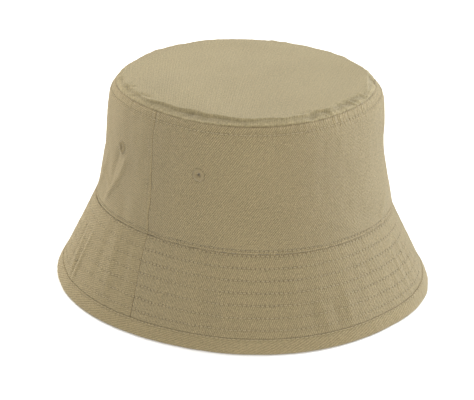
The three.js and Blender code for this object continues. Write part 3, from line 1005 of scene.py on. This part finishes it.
def make_side_row(name, angle):
    """The short row up the crown, behind a side seam."""
    first, last = UPPER_ROW + 1.5, CROWN_DEPTH - LOWER_ROW - 1.5
    numbers = np.arange(math.ceil(first / STITCH), math.floor(last / STITCH))
    down, count = (numbers + THREAD_START) * STITCH, len(numbers)
    t = np.full(count, angle)
    starts, ends = (crown_point(t, at, 0.06) for at in (down, down + THREAD_LONG * STITCH))
    piece = stitches(name, starts, ends, path_normals(crown_point, t, down))
    finish_piece(piece, thread, [name])


make_side_row("side_stitching_left", SIDE_ROWS[0])
make_side_row("side_stitching_right", SIDE_ROWS[1])

# -------- eyelets

EYELET_THREADS = 44


def eyelet_section():
    """Radius and height from the bore's inner end, over the rim, to the outer edge, and back
    under the cloth."""
    over = [(0.55, -1.5), (0.6, -0.9), (0.9, -0.35), (1.4, 0.22), (1.9, 0.52), (2.5, 0.62),
            (3.1, 0.56), (3.6, 0.34), (EYELET_R, -0.05)]
    under = [(3.9, -0.4), (3.4, -0.5), (2.6, -0.45), (2.2, -0.8), (2.6, -1.5), (2.9, -1.8),
             (2.0, -1.95), (1.2, -1.8)]
    return np.array(over + under)


def make_eyelet(name, angle, depth):
    section = eyelet_section()
    count = EYELET_THREADS * 6
    phi = np.arange(count) * TURN / count
    rng = np.random.default_rng(len(name))
    fringe = np.repeat(rng.normal(0, 0.12, EYELET_THREADS), 6)
    strand = 0.5 + 0.5 * np.cos(phi * EYELET_THREADS + math.pi)
    radius = section[None, :, 0] + fringe[:, None] * smooth((section[None, :, 0] - 2.6) / 1.2)
    ridge = 0.16 * (strand[:, None] - 0.5) * smooth((section[None, :, 1] + 0.4) / 0.5)
    height = section[None, :, 1] + ridge
    x, y = radius * np.cos(phi)[:, None], radius * np.sin(phi)[:, None] * 0.97
    verts = crown_point(angle + x / MEAN_R, depth + y, height)
    rows = len(section)
    i, j = pairs(np.arange(count), np.arange(rows))
    a = i * rows + j
    b = ((i + 1) % count) * rows + j
    c = ((i + 1) % count) * rows + (j + 1) % rows
    d = i * rows + (j + 1) % rows
    faces = np.stack([a, b, c, d], -1).reshape(-1, 4)
    piece = new_object(name, verts.reshape(-1, 3), faces.tolist())
    finish_piece(piece, eyelet_thread, [name])


for name, (angle, depth) in EYELETS.items():
    make_eyelet(name, angle, depth)

# -------- inside the crown

BAND_TOP = TIP_Z - band_high[2]
BAND_BOTTOM = TIP_Z - band_low[2]
BAND_THICK = 1.25
BAND_UPPER_ROW = 2.2                 # from its free top edge to the upper row of stitches
BAND_LOWER_ROW = 2.0                 # from its bottom edge to the lower one
LINING = -CROWN_CLOTH - 0.5          # where the lining starts, inside the wall's outer face
band_ripple = ripples(61, 20, (5, 26), 60)


def band_lean(t, down):
    """The band's free top edge waves and leans inwards."""
    low = (down - BAND_TOP) / (BAND_BOTTOM - BAND_TOP)
    return (0.25 * band_ripple(t, down) - 0.3) * (1 - low)


def make_band():
    marks = (BAND_TOP, BAND_TOP + BAND_UPPER_ROW, BAND_BOTTOM)
    t, down = pairs(whole_turn(480), graded(BAND_TOP, BAND_BOTTOM, 1.6, marks))
    lean = band_lean(t, down)
    groove = (0.25 * bell(down - BAND_TOP - BAND_UPPER_ROW, 0.7)
              + 0.2 * bell(down - BAND_BOTTOM + BAND_LOWER_ROW, 0.7))
    seam = 0.6 * bell(turn_from(t, math.pi) * MEAN_R, 0.8)
    round_top = 0.45 * np.exp(-(down - BAND_TOP) / 0.5)
    outer = crown_point(t, down, LINING + lean - round_top)
    inner = crown_point(t, down, LINING + lean - BAND_THICK + groove + seam + round_top)
    uv = np.stack([t * MEAN_R, down], -1) / MM
    piece = sheet("sweatband", outer, inner, uv, closed=True)
    finish_piece(piece, band_cloth, ["sweatband"])


make_band()
round_row("band_upper_row", crown_point, BAND_TOP + BAND_UPPER_ROW, LINING - 1.2, flip=-1.0)
round_row("band_lower_row", crown_point, BAND_BOTTOM - BAND_LOWER_ROW, LINING - 0.95, flip=-1.0)


def make_tape(name, t, down, closed):
    """A bias tape laid over a seam inside the crown, pressed thin along its two long edges."""
    columns, rows = t.shape
    across = np.linspace(0, 1, rows)[None, :] if closed else np.linspace(0, 1, columns)[:, None]
    edge = bell(across, 0.12) + bell(across - 1, 0.12)
    outer = crown_point(t, down, np.full(t.shape, LINING))
    inner = crown_point(t, down, LINING - 0.85 + 0.4 * edge + 0.05 * band_ripple(7 * t, down))
    uv = np.stack([t * MEAN_R, down], -1) / MM
    piece = sheet(name, outer, inner, uv, closed=closed)
    finish_piece(piece, tape_cloth, [name])
    return piece


TAPE_TOP, TAPE_BOTTOM = TIP_Z - tape_high[2], TIP_Z - tape_low[2]
t, down = pairs(whole_turn(480), np.linspace(TAPE_TOP, TAPE_BOTTOM, 12))
ring_tape = make_tape("tip_seam_tape", t, down, True)
for side, angle in (("left", QUARTER), ("right", -QUARTER)):
    node = f"side_seam_tape_{side}"
    low, high = box(node)
    wide = (high[1] - low[1]) / 2 / MEAN_R
    t, down = pairs(np.linspace(angle - wide, angle + wide, 14),
                    np.linspace(TIP_Z - high[2], TIP_Z - low[2], 40))
    strip = make_tape(node, t, down, False)

# -------- care label

LABEL_ROOT = 1.3                     # the end above the hinge, sewn flat to the band
LABEL_TURN = 2.2                     # below the hinge, where the label has left the band
LABEL_GAP = 0.24                     # taken off the CAD label's thickness


def band_face(x, down):
    """The y of the sweatband's inner face at the rear, at the places x across it."""
    t = np.linspace(math.pi + 0.3, math.pi - 0.3, 60)
    face = crown_point(t, np.full(60, down), LINING - BAND_THICK + band_lean(t, down))
    return np.interp(x, face[:, 0], face[:, 1])


def make_label():
    """A satin tab folded in half at its bottom, its two ends sewn flat to the sweatband."""
    wide, long = label_high[0] - label_low[0], label_high[2] - label_low[2]
    thick = label_high[1] - label_low[1]
    y_mid = (label_high[1] + label_low[1]) / 2
    hinge_down = TIP_Z - label_high[2]
    x = np.linspace(-wide / 2, wide / 2, 40)
    root = np.linspace(-LABEL_ROOT, LABEL_TURN, 15)[:-1]
    leaf = np.concatenate([root, np.linspace(LABEL_TURN, long - thick / 2, 42)])
    bend = np.linspace(0, math.pi, 9)[1:-1]
    drop = np.concatenate([leaf, long - thick / 2 + thick / 2 * np.sin(bend), leaf[::-1]])
    side = np.concatenate([np.full(len(leaf), 0.5), 0.5 * np.cos(bend), np.full(len(leaf), -0.5)])
    grid_x, grid_drop = pairs(x, drop)
    hang = smooth(grid_drop / long)
    free = y_mid + side * (thick - LABEL_GAP) + 0.35 * np.cos(grid_x / wide * math.pi) * hang
    sewn = band_face(grid_x, hinge_down) - 0.3 + side * 0.5
    away = smooth((grid_drop + LABEL_ROOT) / (LABEL_TURN + LABEL_ROOT))
    y = sewn + (free - 0.3 * hang - sewn) * away
    outer = np.stack([grid_x, y, label_high[2] - grid_drop], -1)
    inner = outer - grid_normals(outer) * 0.22
    length = np.append(0, np.cumsum(np.hypot(np.diff(drop), np.diff(side * thick))))
    uv = np.stack(np.broadcast_arrays(grid_x, length[None]), -1) / MM
    piece = sheet("care_label", outer, inner, uv)
    finish_piece(piece, satin, ["care_label"], body=None)
    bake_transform(piece)

    count = int((wide - 3.0) / STITCH)
    first = (np.arange(count) - count / 2 + THREAD_START) * STITCH
    rows = []
    for at in (first, first + THREAD_LONG * STITCH):
        y = band_face(at, hinge_down) - 0.62
        rows.append(np.stack([at, y, np.full(count, label_high[2] + LABEL_ROOT * 0.55)], -1))
    tack = stitches("label_stitches", *rows, np.tile([0.0, -1.0, 0.0], (count, 1)))
    finish_piece(tack, thread)


make_label()

# -------- floor, light and camera


def make_floor():
    pale = Shading("pale_floor", (0.86, 0.86, 0.86), 0.8)
    pale.give("Emission Color", (1.0, 1.0, 1.0, 1))
    pale.give("Emission Strength", 0.1)
    size = 3000.0
    corners_xy = [(-size, -size, 0), (size, -size, 0), (size, size, 0), (-size, size, 0)]
    floor = new_object("floor", corners_xy, [[0, 1, 2, 3]])
    floor.location.z = -0.0006
    floor.data.materials.append(pale.material)


make_floor()

FOCAL = 112.1
SENSOR = 36.0
CAMERA_AZIMUTH, CAMERA_ELEVATION, CAMERA_DISTANCE, CAMERA_ROLL = -49.27, 24.95, 1000.0, 0.60
CAMERA_AIM = (-5.4, 0.2, 51.2)


def put(item, place, turn):
    item.location = place
    item.rotation_mode = "QUATERNION"
    item.rotation_quaternion = turn
    bpy.context.collection.objects.link(item)


def make_camera():
    a, e = deg(CAMERA_AZIMUTH), deg(CAMERA_ELEVATION)
    back = np.array([math.sin(a) * math.cos(e), -math.cos(a) * math.cos(e), math.sin(e)])
    level = np.array([math.cos(a), math.sin(a), 0.0])
    roll = deg(CAMERA_ROLL)
    right = level * math.cos(roll) + np.cross(back, level) * math.sin(roll)
    up = np.cross(back, right)
    data = bpy.data.cameras.new("camera")
    data.lens, data.sensor_width = FOCAL, SENSOR
    camera = bpy.data.objects.new("camera", data)
    turn = Matrix(np.stack([right, up, back], 1).tolist()).to_quaternion()
    put(camera, (np.array(CAMERA_AIM) + back * CAMERA_DISTANCE) / MM, turn)
    bpy.context.scene.camera = camera


make_camera()


AIM = (0.0, 0.0, 0.07)               # where the lamps point, in metres


def softbox(name, place, size, power, colour=(1.0, 1.0, 1.0)):
    data = bpy.data.lights.new(name, "AREA")
    data.shape = "RECTANGLE"
    data.size, data.size_y = size
    data.energy = power
    data.color = colour
    lamp = bpy.data.objects.new(name, data)
    put(lamp, place, (Vector(place) - Vector(AIM)).to_track_quat("Z", "Y"))


def around(degrees_right, height, distance):
    """A lamp's place, by its angle to the right of the camera's direction."""
    a = deg(CAMERA_AZIMUTH + degrees_right)
    return (math.sin(a) * distance, -math.cos(a) * distance, height)


softbox("top_light", (0.0, 0.05, 1.5), (1.2, 1.2), 13.3)
softbox("right_light", around(117, 0.5, 1.1), (0.5, 1.1), 18, (0.95, 0.98, 1.02))
softbox("left_light", around(-135, 0.45, 1.1), (0.4, 1.0), 15, (1.0, 0.90, 0.72))
softbox("front_light", around(7, 0.7, 1.6), (0.8, 0.8), 17, (1.0, 0.985, 0.97))

world = bpy.data.worlds.new("studio")
bpy.context.scene.world = world
world.use_nodes = True
background = world.node_tree.nodes["Background"].inputs
background["Color"].default_value = (1.0, 1.0, 1.0, 1)
background["Strength"].default_value = 0.48
bpy.context.scene.view_settings.view_transform = "Standard"
